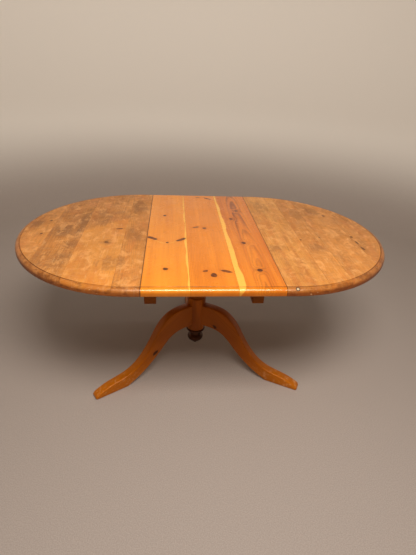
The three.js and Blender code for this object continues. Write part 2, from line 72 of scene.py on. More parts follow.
LEAF_LOW, LEAF_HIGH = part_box("leaf_board_2")
TOP_Z = LEAF_HIGH.z
TOP_THICKNESS = LEAF_HIGH.z - LEAF_LOW.z
TOP_RADIUS = (LEAF_HIGH.y - LEAF_LOW.y) / 2
TOP_Y = (LEAF_HIGH.y + LEAF_LOW.y) / 2
SEAM_X = {
    "left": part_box("leaf_board_1")[0].x,
    "right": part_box("leaf_board_3")[1].x,
}
ROUND_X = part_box("right_end_board_4")[1].x - TOP_RADIUS
COLUMN_LOW, COLUMN_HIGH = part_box("column")
PEDESTAL = (COLUMN_LOW + COLUMN_HIGH) / 2

# ---- Shapes that the boxes don't give ----

EDGE_ROUND = 18 * MM
EDGE_BOTTOM_ROUND = 4 * MM
QUIRK_WIDTH = 3 * MM
QUIRK_DEPTH = 3 * MM
QUIRK_STEP = 1.2 * MM
BOARD_EASE = 0.5 * MM
FRAME_EASE = 1.5 * MM
STEEL_EASE = 0.3 * MM

LEG_TOP = 354 * MM
LEG_ROOT_BOTTOM = 232 * MM
LEG_THICKNESS = 46 * MM
LEG_REACH = 592 * MM
LEG_SHOULDER = 41.1 * MM  # from the column's axis to where a leg begins
LEG_TURN = math.radians(1.6)
LEG_EDGE_ROUND = 6 * MM
LEG_ROUND_STEPS = 4
LEG_GRAIN_FALL = math.radians(38)
LEG_SPACING = 2 * math.pi / 3
TOE_TAPER = (0.96, 0.90, 0.80)  # how wide the last three cross-sections are

COLUMN_RADIUS = 48 * MM
COLUMN_ABOVE_LEGS = 42 * MM
NECK_RADIUS = 37 * MM
NECK_RISE = 8 * MM
VASE_RADIUS = (COLUMN_HIGH.x - COLUMN_LOW.x) / 2
VASE_BELLY = 0.34  # share of the vase's height at which it is widest
UPPER_NECK_RADIUS = 34 * MM
BEAD_HALF = 7 * MM
BEAD_OUT = 9 * MM
CAP_COVE = 14 * MM
CAP_RADIUS = 54 * MM
CAP_HEIGHT = 26 * MM
SMALL_ROUND = 3 * MM
TENON_RADIUS = 25 * MM
JOINT_GAP = 0.3 * MM

FINIAL_COLLAR_RADIUS = 50 * MM
FINIAL_COLLAR_HEIGHT = 16 * MM
FINIAL_NECK_RADIUS = 30 * MM
FINIAL_NECK_HEIGHT = 20 * MM
FINIAL_BULB_RADIUS = 42 * MM
FINIAL_BULB_HALF_HEIGHT = 28 * MM
FINIAL_NUB_RADIUS = 12 * MM


# ---- Node helper ----


class Graph:
    """Builds a material's node tree. Values that meet may be sockets or plain numbers."""

    def __init__(self, name):
        self.material = bpy.data.materials.new(name)
        self.material.use_nodes = True
        self.tree = self.material.node_tree
        self.shader = self.tree.nodes["Principled BSDF"]

    def add(self, kind, **settings):
        node = self.tree.nodes.new(kind)
        for key, value in settings.items():
            setattr(node, key, value)
        return node

    def feed(self, socket, value):
        if isinstance(value, bpy.types.NodeSocket):
            self.tree.links.new(value, socket)
        else:
            socket.default_value = value

    def math(self, operation, a, b=0.0):
        node = self.add("ShaderNodeMath", operation=operation)
        self.feed(node.inputs[0], a)
        self.feed(node.inputs[1], b)
        return node.outputs[0]

    def plus(self, a, b):
        return self.math("ADD", a, b)

    def minus(self, a, b):
        return self.math("SUBTRACT", a, b)

    def times(self, a, b):
        return self.math("MULTIPLY", a, b)

    def away(self, a, b):
        """How far a and b are apart."""
        return self.math("ABSOLUTE", self.minus(a, b))

    def diagonal(self, a, b):
        return self.math("SQRT", self.plus(self.times(a, a), self.times(b, b)))

    def total(self, values):
        return functools.reduce(self.plus, values)

    def most(self, values):
        return functools.reduce(lambda a, b: self.math("MAXIMUM", a, b), values)

    def spread(self, value, low, high, to_low=0.0, to_high=1.0):
        """Maps low..high smoothly onto to_low..to_high."""
        node = self.add("ShaderNodeMapRange", interpolation_type="SMOOTHSTEP")
        for name, number in zip(
            ("From Min", "From Max", "To Min", "To Max"), (low, high, to_low, to_high)
        ):
            node.inputs[name].default_value = number
        self.feed(node.inputs["Value"], value)
        return node.outputs["Result"]

    def vector(self, x, y, z):
        node = self.add("ShaderNodeCombineXYZ")
        for socket, value in zip(node.inputs, (x, y, z)):
            self.feed(socket, value)
        return node.outputs[0]

    def split(self, vector):
        node = self.add("ShaderNodeSeparateXYZ")
        self.feed(node.inputs[0], vector)
        return node.outputs

    def stretched(self, vector, scale, shift=(0, 0, 0)):
        node = self.add("ShaderNodeMapping")
        self.feed(node.inputs["Vector"], vector)
        node.inputs["Scale"].default_value = scale
        node.inputs["Location"].default_value = shift
        return node.outputs[0]

    def noise(self, vector, scale=1.0, detail=2.0, roughness=0.5, distortion=0.0, colour=False):
        node = self.add("ShaderNodeTexNoise")
        self.feed(node.inputs["Vector"], vector)
        for name, number in zip(
            ("Scale", "Detail", "Roughness", "Distortion"), (scale, detail, roughness, distortion)
        ):
            node.inputs[name].default_value = number
        return node.outputs["Color" if colour else "Fac"]

    def mix(self, share, a, b, blend="MIX"):
        node = self.add("ShaderNodeMix", data_type="RGBA", blend_type=blend)
        named = {socket.identifier: socket for socket in node.inputs}
        self.feed(named["Factor_Float"], share)
        self.feed(named["A_Color"], a)
        self.feed(named["B_Color"], b)
        return node.outputs[2]

    def finish(self, colour, roughness, height, bump):
        """Connects the surface. bump is how far the height's whole range stands up."""
        self.feed(self.shader.inputs["Base Color"], colour)
        self.feed(self.shader.inputs["Roughness"], roughness)
        relief = self.add("ShaderNodeBump")
        relief.inputs["Strength"].default_value = 1.0
        relief.inputs["Distance"].default_value = bump
        self.feed(relief.inputs["Height"], height)
        self.feed(self.shader.inputs["Normal"], relief.outputs[0])
        return self.material


class Surface:
    """What an overlay may change on a material: its colour, roughness and height."""

    def __init__(self, g, coords, shift, colour, roughness, height):
        self.g = g
        self.coords = coords
        self.shift = shift
        self.colour = colour
        self.roughness = roughness
        self.height = height

    def paint(self, share, colour, strength=None):
        """Lays a colour over the surface, as far as share says, times the strength if any."""
        if strength is not None:
            share = self.g.times(share, strength)
        self.colour = self.g.mix(share, self.colour, colour)

    def roughen(self, share, amount):
        self.roughness = self.g.plus(self.roughness, self.g.times(share, amount))

    def noise(self, scale, **settings):
        """Noise that changes this many times a metre along X, Y and Z."""
        return self.g.noise(self.g.stretched(self.coords, scale, self.shift), **settings)


def tint(code):
    """A colour written #rrggbb, as linear light with full alpha."""
    parts = [int(code[i : i + 2], 16) / 255 for i in (1, 3, 5)]
    linear = [c / 12.92 if c <= 0.04045 else ((c + 0.055) / 1.055) ** 2.4 for c in parts]
    return (*linear, 1.0)


# ---- Pine ----
#
# A board is cut from a trunk: its colour follows growth rings round a pith line. In a board's own
# axes a runs across it, l along the grain and c through its thickness.

X_AXIS, Y_AXIS, Z_AXIS = Vector((1, 0, 0)), Vector((0, 1, 0)), Vector((0, 0, 1))

LOOKS = {
    "leaf": {
        "early": "#ef9228", "heart": "#df8120", "late": "#b55a10", "knot": "#3c1206",
        "contrast": 0.3, "roughness": 0.27, "coat": 0.25, "sway": 0.35, "specular": "#ffd9b0",
    },
    "worn": {
        "early": "#d68a3c", "heart": "#c67a30", "late": "#95581f", "knot": "#4a2612",
        "contrast": 0.3, "roughness": 0.42, "coat": 0.1, "sway": 0.7, "specular": "#ffe2c4",
    },
    "pedestal": {
        "early": "#ab5b03", "heart": "#974a02", "late": "#6c3001", "knot": "#1e0801",
        "contrast": 0.5, "roughness": 0.38, "coat": 0.12, "sway": 0.5, "specular": "#ff9a50",
    },
    "frame": {
        "early": "#c99a62", "heart": "#b98850", "late": "#94683a", "knot": "#5d3a20",
        "contrast": 0.5, "roughness": 0.66, "coat": 0.0, "sway": 0.6, "specular": "#ffffff",
    },
}
COAT_ROUGHNESS = 0.18
GRAIN_RELIEF = 0.25 * MM

# How many times a metre each pattern changes: across the board, along its grain and through it.
WANDER = (1.6, 1.3, 1.6)
JITTER = (25, 3, 25)
PATCHES = (9, 1.2, 9)
TONES = (16, 0.8, 16)
STREAKS = (75, 1.6, 75)
FIBRES = (700, 9, 700)
FLECKS = (330, 18, 330)

# How far the rings wander sideways and in depth, how unevenly they lie, and how many of them a knot
# pushes aside.
SIDE_SWAY = 25 * MM
DEPTH_SWAY = 16 * MM
RING_JITTER = 0.8
KNOT_PUSH = 2.6
KNOT_RIPPLE = 60  # how many times a metre a knot's outline wavers


def board_axes(g, coords, along, through, centre):
    """Coordinates in a board's own axes (a, l, c)."""
    across = along.cross(through)
    mapping = g.add("ShaderNodeMapping", vector_type="TEXTURE")
    g.feed(mapping.inputs["Vector"], coords)
    mapping.inputs["Location"].default_value = centre
    turn = Matrix((across, along, through)).transposed().to_euler()
    mapping.inputs["Rotation"].default_value = turn
    return mapping.outputs[0]


def knot_nodes(g, a, l, knot, ripple):
    """One knot: how much of the surface it is, its dark rim, and how it pushes the rings out."""
    across, along, half_across, half_along, turn = knot
    da = g.minus(a, across * MM)
    dl = g.minus(l, along * MM)
    cos, sin = math.cos(math.radians(turn)), math.sin(math.radians(turn))
    u = g.math("DIVIDE", g.plus(g.times(da, cos), g.times(dl, sin)), half_across * MM)
    v = g.math("DIVIDE", g.minus(g.times(dl, cos), g.times(da, sin)), half_along * MM)
    distance = g.plus(g.diagonal(u, v), ripple)
    core = g.spread(distance, 1.1, 0.75)
    rim = g.times(g.spread(distance, 0.5, 0.95), g.spread(distance, 1.35, 1.0))
    push = g.math("EXPONENT", g.times(g.times(distance, distance), -0.16))
    return core, rim, push


def late_wood(g, look, wood, shift, pith, slope, spacing, pushes):
    """How much of each place is the dark part of a growth ring."""
    a, l, c = g.split(wood)
    wander = g.split(g.noise(g.stretched(wood, WANDER, shift), detail=2.5, colour=True))
    side_sway, depth_sway = SIDE_SWAY * look["sway"], DEPTH_SWAY * look["sway"]
    ring_a = g.plus(g.minus(a, pith[0] * MM), g.spread(wander[0], 0.2, 0.8, -side_sway, side_sway))
    ring_c = g.plus(g.minus(c, pith[1] * MM), g.times(l, slope))
    ring_c = g.plus(ring_c, g.spread(wander[1], 0.2, 0.8, -depth_sway, depth_sway))
    rings = g.math("DIVIDE", g.diagonal(ring_a, ring_c), spacing * MM)
    jitter = g.noise(g.stretched(wood, JITTER, shift), detail=2)
    rings = g.plus(rings, g.times(jitter, RING_JITTER))
    for push in pushes:
        rings = g.plus(rings, g.times(push, KNOT_PUSH))
    phase = g.math("FRACT", rings)
    late = g.times(g.spread(phase, 0.25, 0.85), g.spread(phase, 1.0, 0.9))
    patchy = g.noise(g.stretched(wood, PATCHES, shift), detail=3)
    contrast = look["contrast"]
    late = g.times(late, g.spread(patchy, 0.3, 0.7, 0.35 * contrast, 1.25 * contrast))
    if "band" in look:
        middle, half_width = (value * MM for value in look["band"])
        off = g.away(a, middle)
        late = g.times(late, g.spread(off, half_width, half_width * 0.4, 0.18, 1.0))
    return late


def pine_colour(g, look, wood, shift, late, fibre):
    tone = g.spread(g.noise(g.stretched(wood, TONES, shift), detail=3), 0.35, 0.7)
    streak = g.spread(g.noise(g.stretched(wood, STREAKS, shift), detail=3), 0.35, 0.7)
    tone = g.plus(g.times(tone, 0.6), g.times(streak, 0.5))
    colour = g.mix(tone, tint(look["early"]), tint(look["heart"]))
    colour = g.mix(late, colour, tint(look["late"]))
    fleck = g.spread(g.noise(g.stretched(wood, FLECKS, shift), detail=1), 0.66, 0.8)
    shade = g.minus(g.spread(fibre, 0.2, 0.8, 0.9, 1.07), g.times(fleck, 0.22))
    return g.mix(1.0, colour, g.vector(shade, shade, shade), "MULTIPLY")


def paint_knots(g, surface, look, knot_parts, ripple):
    late, dark = tint(look["late"]), tint(look["knot"])
    for core, rim, push in knot_parts:
        surface.paint(push, late, 0.28)
        inner = g.mix(g.spread(ripple, -0.1, 0.1), dark, g.mix(0.4, dark, late))
        surface.paint(core, inner, 0.92)
        surface.paint(rim, dark, 0.8)


def pine(name, look, along, through, centre, pith, slope=0.012, spacing=5.5, knots=(), seed=1,
         overlay=None, changes=None):
    """A pine material. pith is the pith line's place across and through the board, in mm;
    changes are what this board has different from its look."""
    look = {**LOOKS[look], **(changes or {})}
    g = Graph(name)
    coords = g.add("ShaderNodeTexCoord").outputs["Object"]
    wood = board_axes(g, coords, along, through, centre)
    a, l, _ = g.split(wood)
    shift = (seed * 1.7, seed * 3.1, seed * 5.3)  # gives each seed its own part of the noise
    ripple = g.spread(g.noise(wood, scale=KNOT_RIPPLE, detail=2), 0.3, 0.7, -0.16, 0.16)
    knot_parts = [knot_nodes(g, a, l, knot, ripple) for knot in knots]
    pushes = [push for _, _, push in knot_parts]
    late = late_wood(g, look, wood, shift, pith, slope, spacing, pushes)
    fibre = g.noise(g.stretched(wood, FIBRES, shift), detail=1.5)
    sheen = g.spread(g.noise(coords, scale=14, detail=4), 0.3, 0.7,
                     look["roughness"] - 0.06, look["roughness"] + 0.08)
    surface = Surface(g, coords, shift, pine_colour(g, look, wood, shift, late, fibre), sheen,
                      g.plus(g.times(fibre, 0.5), g.times(late, 0.5)))
    if overlay:
        overlay(g, surface)
    paint_knots(g, surface, look, knot_parts, ripple)
    material = g.finish(surface.colour, surface.roughness, surface.height, GRAIN_RELIEF)
    g.shader.inputs["Coat Weight"].default_value = look["coat"]
    g.shader.inputs["Coat Roughness"].default_value = COAT_ROUGHNESS
    g.shader.inputs["Specular Tint"].default_value = tint(look["specular"])
    return material


# ---- What lies on the top's surface: dirt, wear and pale sapwood, and painted shade on the moulding ----

DIRT = tint("#34160a")
# Dirt in the moulding's groove, also painted as the shade that falls in it.
GROOVE_DIRT_AND_SHADE = tint("#4c200c")
GRIME = tint("#805028")
STAIN = tint("#54240c")
DENT = tint("#a05418")
# The mouldings' own darker colours, also laid on as painted shade on their lower halves and at the
# back.
END_MOULDING_AND_SHADE = tint("#7a3a0e")
LEAF_MOULDING_AND_SHADE = tint("#8c4402")
WARM = tint("#c8702a")
CLEAN = tint("#e8963a")
RUBBED = tint("#f0a860")
SAP = tint("#f7b54a")
BARE = tint("#c89c68")
CHIPPED = tint("#dcb384")
SCRATCHED = tint("#efc490")
FILLER = tint("#b89c78")

LEFT_SEAM_DIRT = 3.2 * MM
RIGHT_SEAM_DIRT = 2.2 * MM
SCRATCHES = ((16, 420, 1), (330, 14, 1), (28, 520, 1))


def edge_marks(g, surface, moulding, depth):
    """Dark dirt and painted shade in the groove inside the moulding; a darker moulding, with
    painted shade on its lower half and painted shade and darker stain towards the back; and a bare
    underside. depth is how much of the moulding's own colour its upper half has. Returns how
    much of a place is moulding."""
    x, y, z = g.split(surface.coords)
    beyond = g.math("MAXIMUM", g.minus(g.math("ABSOLUTE", x), ROUND_X), 0.0)
    aside = g.minus(y, TOP_Y)
    out = g.diagonal(beyond, aside)
    groove = TOP_RADIUS - EDGE_ROUND - QUIRK_WIDTH / 2
    outside = g.spread(out, groove, groove + 2 * MM)
    # Painted shade: the moulding's lower half, which faces down, is painted darker.
    painted_shade_below = g.times(outside, g.spread(z, TOP_Z - 5 * MM, TOP_Z - 20 * MM))
    # Painted shade with some darker stain: more of the moulding's colour towards the back of the
    # top.
    painted_shade_behind = g.times(outside, g.spread(aside, 0.1, 0.4))
    share = g.plus(g.times(outside, depth), g.times(painted_shade_below, 0.45))
    share = g.math("MINIMUM", g.plus(share, g.times(painted_shade_behind, 0.5)), 1.0)
    surface.paint(share, moulding)
    surface.roughness = g.minus(surface.roughness, g.times(outside, 0.1))

    # A dark line painted along the groove, darker towards the front: dirt packed in it and painted
    # shade in the recess.
    line = g.spread(g.away(out, groove), 2.6 * MM, 0.8 * MM)
    near_top = g.spread(z, TOP_Z - 12 * MM, TOP_Z - 6 * MM)
    front = g.spread(aside, 0.3, -0.3, 0.4, 1.0)
    packed = g.spread(g.noise(surface.coords, scale=9, detail=3), 0.3, 0.6, 0.5, 1.0)
    line = g.times(g.times(line, near_top), g.times(front, packed))
    surface.paint(line, GROOVE_DIRT_AND_SHADE, 0.7)

    underside = TOP_Z - TOP_THICKNESS
    bare = g.spread(z, underside + 2 * MM, underside + 0.6 * MM)
    surface.paint(bare, BARE, 0.8)
    surface.roughen(bare, 0.3)
    return outside


def seam_dirt(g, surface, seam_x, width):
    """A dark stain where an end meets the leaf."""
    off = g.away(g.split(surface.coords)[0], seam_x)
    surface.paint(g.spread(off, width, 0.5 * MM), DIRT, 0.8)


def worn_end(side, soil, patch=None, blots=(), plug=None):
    """The wear on one board of an end, and painted shade on its moulding. soil is how dirty the
    board is, 0 to 1. patch is a cleaner area in front of a slanting line: the line's x, y and
    slope. blots are grey stains: x, y and the half sizes across and along. plug is a round filled
    hole: x, y, height from the top face and radius. All are in mm from the top's middle."""

    def overlay(g, surface):
        streaky = surface.noise((42, 5, 1), detail=4, roughness=0.65)
        mottled = surface.noise((34, 26, 1), detail=7, roughness=0.75)
        grime = ingrained(g, surface, soil, streaky, mottled)
        if patch:
            clean = clean_patch(g, surface, patch, mottled)
            surface.paint(clean, CLEAN, 0.5)
            grime = g.times(grime, g.spread(clean, 0, 1, 1.15, 0.6))
        ragged = g.plus(g.spread(mottled, 0.3, 0.7, -0.4, 0.4),
                        g.spread(streaky, 0.3, 0.7, -0.45, 0.45))
        for blot in blots:
            grime = g.plus(grime, g.times(grey_blot(g, surface, blot, ragged), 0.42))
        grime = g.math("MINIMUM", grime, 0.85)
        rub_and_scratch(g, surface, grime)
        worn_moulding(g, surface, 0.4 if side == "left" else 0.5)
        seam_dirt(g, surface, SEAM_X[side], LEFT_SEAM_DIRT if side == "left" else RIGHT_SEAM_DIRT)
        if plug:
            filled_hole(g, surface, plug)

    return overlay


def ingrained(g, surface, soil, streaky, mottled):
    """Dirt worked into the wood, from broad clouds down to specks."""
    broad = surface.noise((6.0, 3.2, 1), detail=5, roughness=0.6)
    fine = surface.noise((130, 75, 1), detail=3, roughness=0.7)
    return g.total([
        g.times(g.spread(broad, 0.38, 0.62), 0.12 + 0.3 * soil),
        g.times(g.spread(streaky, 0.45, 0.7), 0.08 + 0.2 * soil),
        g.times(g.spread(mottled, 0.45, 0.62), 0.14 + 0.22 * soil),
        g.times(g.spread(fine, 0.5, 0.75), 0.16),
    ])


def clean_patch(g, surface, patch, mottled):
    """How much of a place lies in front of the patch's slanting, ragged line."""
    x, y, _ = g.split(surface.coords)
    ahead = g.times(g.minus(x, patch[0] * MM), patch[2])
    line = g.minus(ahead, g.minus(y, TOP_Y + patch[1] * MM))
    wavy = g.plus(line, g.spread(mottled, 0.3, 0.7, -0.02, 0.02))
    return g.spread(wavy, -0.02, 0.02)


def grey_blot(g, surface, blot, ragged):
    x, y, _ = g.split(surface.coords)
    place_x, place_y, half_x, half_y = blot
    across = g.math("DIVIDE", g.minus(x, place_x * MM), half_x * MM)
    along = g.math("DIVIDE", g.minus(y, TOP_Y + place_y * MM), half_y * MM)
    return g.spread(g.plus(g.diagonal(across, along), ragged), 1.25, 0.4)


def rub_and_scratch(g, surface, grime):
    warm = surface.noise((13, 3.5, 1), detail=6, roughness=0.7, distortion=0.4)
    rubbed = surface.noise((24, 15, 1), detail=8, roughness=0.7, distortion=0.6)
    scratched = g.most([
        g.spread(surface.noise(scale, detail=2), 0.62, 0.7) for scale in SCRATCHES
    ])
    surface.paint(g.spread(warm, 0.47, 0.62), WARM, 0.5)
    surface.paint(grime, GRIME)
    surface.paint(g.spread(rubbed, 0.5, 0.64), RUBBED, 0.42)
    surface.paint(scratched, SCRATCHED, 0.26)
    surface.roughen(g.plus(grime, scratched), 0.14)
    surface.height = g.minus(surface.height, g.times(scratched, 0.6))


# The end's moulding: its darker colour with painted shade on its lower half and at the back, then
# chips and stains.
def worn_moulding(g, surface, depth):
    outside = edge_marks(g, surface, END_MOULDING_AND_SHADE, depth)
    chips = surface.noise((90, 90, 120), detail=3)
    surface.paint(g.times(g.spread(chips, 0.66, 0.72), outside), CHIPPED, 0.45)
    stains = surface.noise((26, 26, 60), detail=5, roughness=0.65)
    surface.paint(g.times(g.spread(stains, 0.5, 0.62), outside), STAIN, 0.5)


def filled_hole(g, surface, plug):
    """A round hole with pale filler in it and a dark rim."""
    distance = g.add("ShaderNodeVectorMath", operation="DISTANCE")
    g.feed(distance.inputs[0], surface.coords)
    place = Vector((plug[0] * MM, TOP_Y + plug[1] * MM, TOP_Z + plug[2] * MM))
    distance.inputs[1].default_value = place
    off = distance.outputs["Value"]
    radius = plug[3]
    surface.paint(g.spread(off, radius * MM, (radius - 1.5) * MM), DIRT)
    surface.paint(g.spread(off, (radius - 3) * MM, (radius - 5) * MM), FILLER)


def leaf_surface(sap=None, fold=None):
    """The leaf's surface. sap is a strip of pale sapwood along an edge: the edge's x and the
    strip's width at the back and at the front of the table, in mm, positive towards +X. fold is
    a pale curved line where branches met: its middle's x and y, half width and rise at the ends."""

    def overlay(g, surface):
        if sap:
            surface.paint(sap_strip(g, surface, sap), SAP, 0.88)
        if fold:
            surface.paint(fold_line(g, surface, fold), SAP, 0.5)
        dents = surface.noise((30, 24, 1), detail=4)
        surface.paint(g.spread(dents, 0.6, 0.8), DENT, 0.2)
        edge_marks(g, surface, LEAF_MOULDING_AND_SHADE, 0.15)
        seam_dirt(g, surface, SEAM_X["left"], LEFT_SEAM_DIRT)
        seam_dirt(g, surface, SEAM_X["right"], RIGHT_SEAM_DIRT)

    return overlay


def sap_strip(g, surface, sap):
    x, y, z = g.split(surface.coords)
    edge, back, front = (value * MM for value in sap)
    side = math.copysign(1.0, front)
    share = g.spread(y, TOP_RADIUS, -TOP_RADIUS)
    wave = surface.noise((0.1, 6, 0.1), detail=2)
    width = g.plus(g.times(share, front - back), back)
    width = g.plus(width, g.spread(wave, 0.3, 0.7, -4 * MM, 4 * MM))
    width = g.minus(width, g.times(g.minus(TOP_Z, z), side * 0.7))
    inside = g.times(g.minus(width, g.minus(x, edge)), side)
    return g.spread(inside, -0.8 * MM, 1.2 * MM)


def fold_line(g, surface, fold):
    x, y, _ = g.split(surface.coords)
    middle_x, middle_y, half_width, rise = (value * MM for value in fold)
    share = g.math("DIVIDE", g.minus(x, middle_x), half_width)
    share = g.times(share, share)
    curve = g.plus(g.times(share, rise), TOP_Y + middle_y)
    line = g.spread(g.away(y, curve), 6 * MM, 1 * MM)
    return g.times(line, g.spread(share, 1.1, 0.6))


# ---- Mesh helpers ----


def arc(centre, radii, from_angle, to_angle, steps):
    """Points on an arc of an ellipse, with angles in degrees."""
    angles = [
        math.radians(from_angle + (to_angle - from_angle) * i / steps) for i in range(steps + 1)
    ]
    return [(centre[0] + radii[0] * math.cos(t), centre[1] + radii[1] * math.sin(t))
            for t in angles]


SHARP_ANGLE = 32


def new_piece(name, verts, faces, sharp_angle=SHARP_ANGLE):
    mesh = bpy.data.meshes.new(name)
    mesh.from_pydata(verts, [], faces)
    bm = bmesh.new()
    bm.from_mesh(mesh)
    bmesh.ops.remove_doubles(bm, verts=bm.verts, dist=1e-6)
    bmesh.ops.recalc_face_normals(bm, faces=bm.faces)
    bm.to_mesh(mesh)
    bm.free()
    mesh.shade_smooth()
    mesh.set_sharp_from_angle(angle=math.radians(sharp_angle))
    piece = bpy.data.objects.new(name, mesh)
    bpy.context.scene.collection.objects.link(piece)
    return piece


def revolve(name, profile, centre, segments, closed=True):
    """A turned piece about a vertical line. The profile runs from bottom to top as (radius,
    height). When closed, an end that isn't on the line gets a flat face."""
    verts, faces, rings = [], [], []
    for radius, height in profile:
        if radius < 1e-7:
            rings.append([len(verts)])
            verts.append((centre[0], centre[1], height))
            continue
        ring = []
        for i in range(segments):
            t = 2 * math.pi * i / segments
            ring.append(len(verts))
            verts.append((centre[0] + radius * math.cos(t), centre[1] + radius * math.sin(t),
                          height))
        rings.append(ring)
    for low, high in zip(rings, rings[1:]):
        for i in range(segments):
            j = (i + 1) % segments
            if len(low) == 1:
                faces.append((low[0], high[j], high[i]))
            elif len(high) == 1:
                faces.append((low[i], low[j], high[0]))
            else:
                faces.append((low[i], low[j], high[j], high[i]))
    if closed and len(rings[0]) > 1:
        faces.append(tuple(reversed(rings[0])))
    if closed and len(rings[-1]) > 1:
        faces.append(tuple(rings[-1]))
    return new_piece(name, verts, faces)


def keep_between(piece, low_x, high_x):
    """Cuts a closed piece off at two planes across X and closes the cuts."""
    bm = bmesh.new()
    bm.from_mesh(piece.data)
    for plane_x, outward in ((low_x, -1), (high_x, 1)):
        bmesh.ops.bisect_plane(bm, geom=[*bm.verts, *bm.edges, *bm.faces], dist=1e-7,
                               plane_co=(plane_x, 0, 0), plane_no=(outward, 0, 0),
                               clear_outer=True)
        open_edges = [edge for edge in bm.edges if edge.is_boundary]
        if open_edges:
            bmesh.ops.holes_fill(bm, edges=open_edges)
    bmesh.ops.recalc_face_normals(bm, faces=bm.faces)
    bm.to_mesh(piece.data)
    bm.free()
    piece.data.shade_smooth()
    piece.data.set_sharp_from_angle(angle=math.radians(SHARP_ANGLE))
    return piece


def ease_edges(piece, width, angle=50, segments=3):
    bevel = piece.modifiers.new("eased edges", "BEVEL")
    bevel.width = width
    bevel.segments = segments
    bevel.limit_method = "ANGLE"
    bevel.angle_limit = math.radians(angle)
    bevel.harden_normals = True
    return piece


def stand_for(piece, node, material):
    """The piece takes a CAD node's place."""
    piece.data.materials.append(material)
    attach(piece, frame["nodes"][node]["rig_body"])
    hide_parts(node)
    return piece


# ---- The top's boards ----

END_ARC_STEPS = 144

def edge_profile():
    """The moulded edge, from underneath to the top face, as (distance in, height)."""
    round_centre = (EDGE_ROUND, -QUIRK_STEP - EDGE_ROUND)
    quirk = EDGE_ROUND + QUIRK_WIDTH / 2
    return [
        *arc((EDGE_BOTTOM_ROUND, EDGE_BOTTOM_ROUND - TOP_THICKNESS),
             (EDGE_BOTTOM_ROUND, EDGE_BOTTOM_ROUND), 270, 180, 4),
        *arc(round_centre, (EDGE_ROUND, EDGE_ROUND), 180, 90, 14),
        (quirk, -QUIRK_DEPTH),
        (quirk + QUIRK_WIDTH / 2, 0),
    ]


def end_slab(name, outward):
    """One end as a whole: straight sides from the leaf, then a half round."""
    seam_x, middle_x = outward * abs(SEAM_X["left"]), outward * ROUND_X
    verts, rings = [], []
    for inwards, height in edge_profile():
        radius = TOP_RADIUS - inwards
        bow = arc((0, 0), (outward * radius, radius), -90, 90, END_ARC_STEPS)
        plan = [(seam_x, -radius), *((middle_x + x, y) for x, y in bow), (seam_x, radius)]
        rings.append([len(verts) + i for i in range(len(plan))])
        verts += [(x, TOP_Y + y, TOP_Z + height) for x, y in plan]
    faces = [
        (low[i], low[i + 1], high[i + 1], high[i])
        for low, high in zip(rings, rings[1:])
        for i in range(len(low) - 1)
    ]
    faces += [tuple(rings[0]), tuple(rings[-1])]
    faces.append(tuple([ring[0] for ring in rings] + [ring[-1] for ring in reversed(rings)]))
    return new_piece(name, verts, faces)


def end_board(node, outward):
    """One board of an end. The outermost one keeps the whole of the round's tip."""
    low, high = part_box(node)
    outermost = max(abs(low.x), abs(high.x)) > ROUND_X + TOP_RADIUS - MM
    low_x = low.x - MM if outermost and outward < 0 else low.x
    high_x = high.x + MM if outermost and outward > 0 else high.x
    return keep_between(end_slab(node + "_wood", outward), low_x, high_x)


def leaf_piece(node):
    """One board of the leaf, moulded at its front and back."""
    low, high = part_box(node)
    side = [(TOP_RADIUS - inwards, TOP_Z + height) for inwards, height in edge_profile()]
    outline = side + [(-y, z) for y, z in reversed(side)]
    count = len(outline)
    verts = [(x, TOP_Y + y, z) for x in (low.x, high.x) for y, z in outline]
    faces = [(i, (i + 1) % count, (i + 1) % count + count, i + count) for i in range(count)]
    faces += [tuple(range(count)), tuple(range(count, 2 * count))]
    return new_piece(node + "_wood", verts, faces)


# Each board: where its pith line runs (mm across from the board's middle, mm through), the pith
# line's slope, its ring spacing, and its knots as (x, y, half width, half length, turn), in mm and
# degrees from the top's middle. The surface functions above say what the other entries mean.
LEAF_BOARDS = {
    "leaf_board_1": {
        "pith": (150, -90), "slope": 0.002, "spacing": 4.2, "seed": 3,
        "knots": [(-191, 184, 7, 8, 0), (-241, -99, 24, 9, -38), (-174, -145, 5, 6, 0),
                  (-113, -112, 22, 8, 40), (-178, -388, 8, 9, 0)],
        "sap": (-88, -6, -8), "fold": (-176, -152, 62, 44),
    },
    "leaf_board_2": {
        "pith": (-170, -110), "slope": 0.002, "spacing": 4.6, "seed": 8,
        "knots": [(-39, 34, 15, 6, 25), (1, 23, 8, 9, 0), (-25, -404, 9, 6, 20),
                  (5, -437, 10, 14, 15), (56, -406, 20, 7, -22), (48, 470, 22, 6, -40),
                  (-7, 486, 9, 5, 0)],
        "changes": {"early": "#ea8922", "heart": "#d6781c"},
    },
    "leaf_board_3": {
        "pith": (10, -38), "slope": 0.045, "spacing": 9.5, "seed": 5,
        "knots": [(189, 270, 7, 9, 0), (146, 151, 8, 9, 0), (165, -142, 9, 9, 0),
                  (189, -397, 9, 10, 0)],
        "sap": (88.5, 12, 25),
        "changes": {"early": "#e0801f", "heart": "#c46414", "late": "#70300a",
                    "contrast": 0.7, "sway": 0.5, "band": (8, 46)},
    },
}
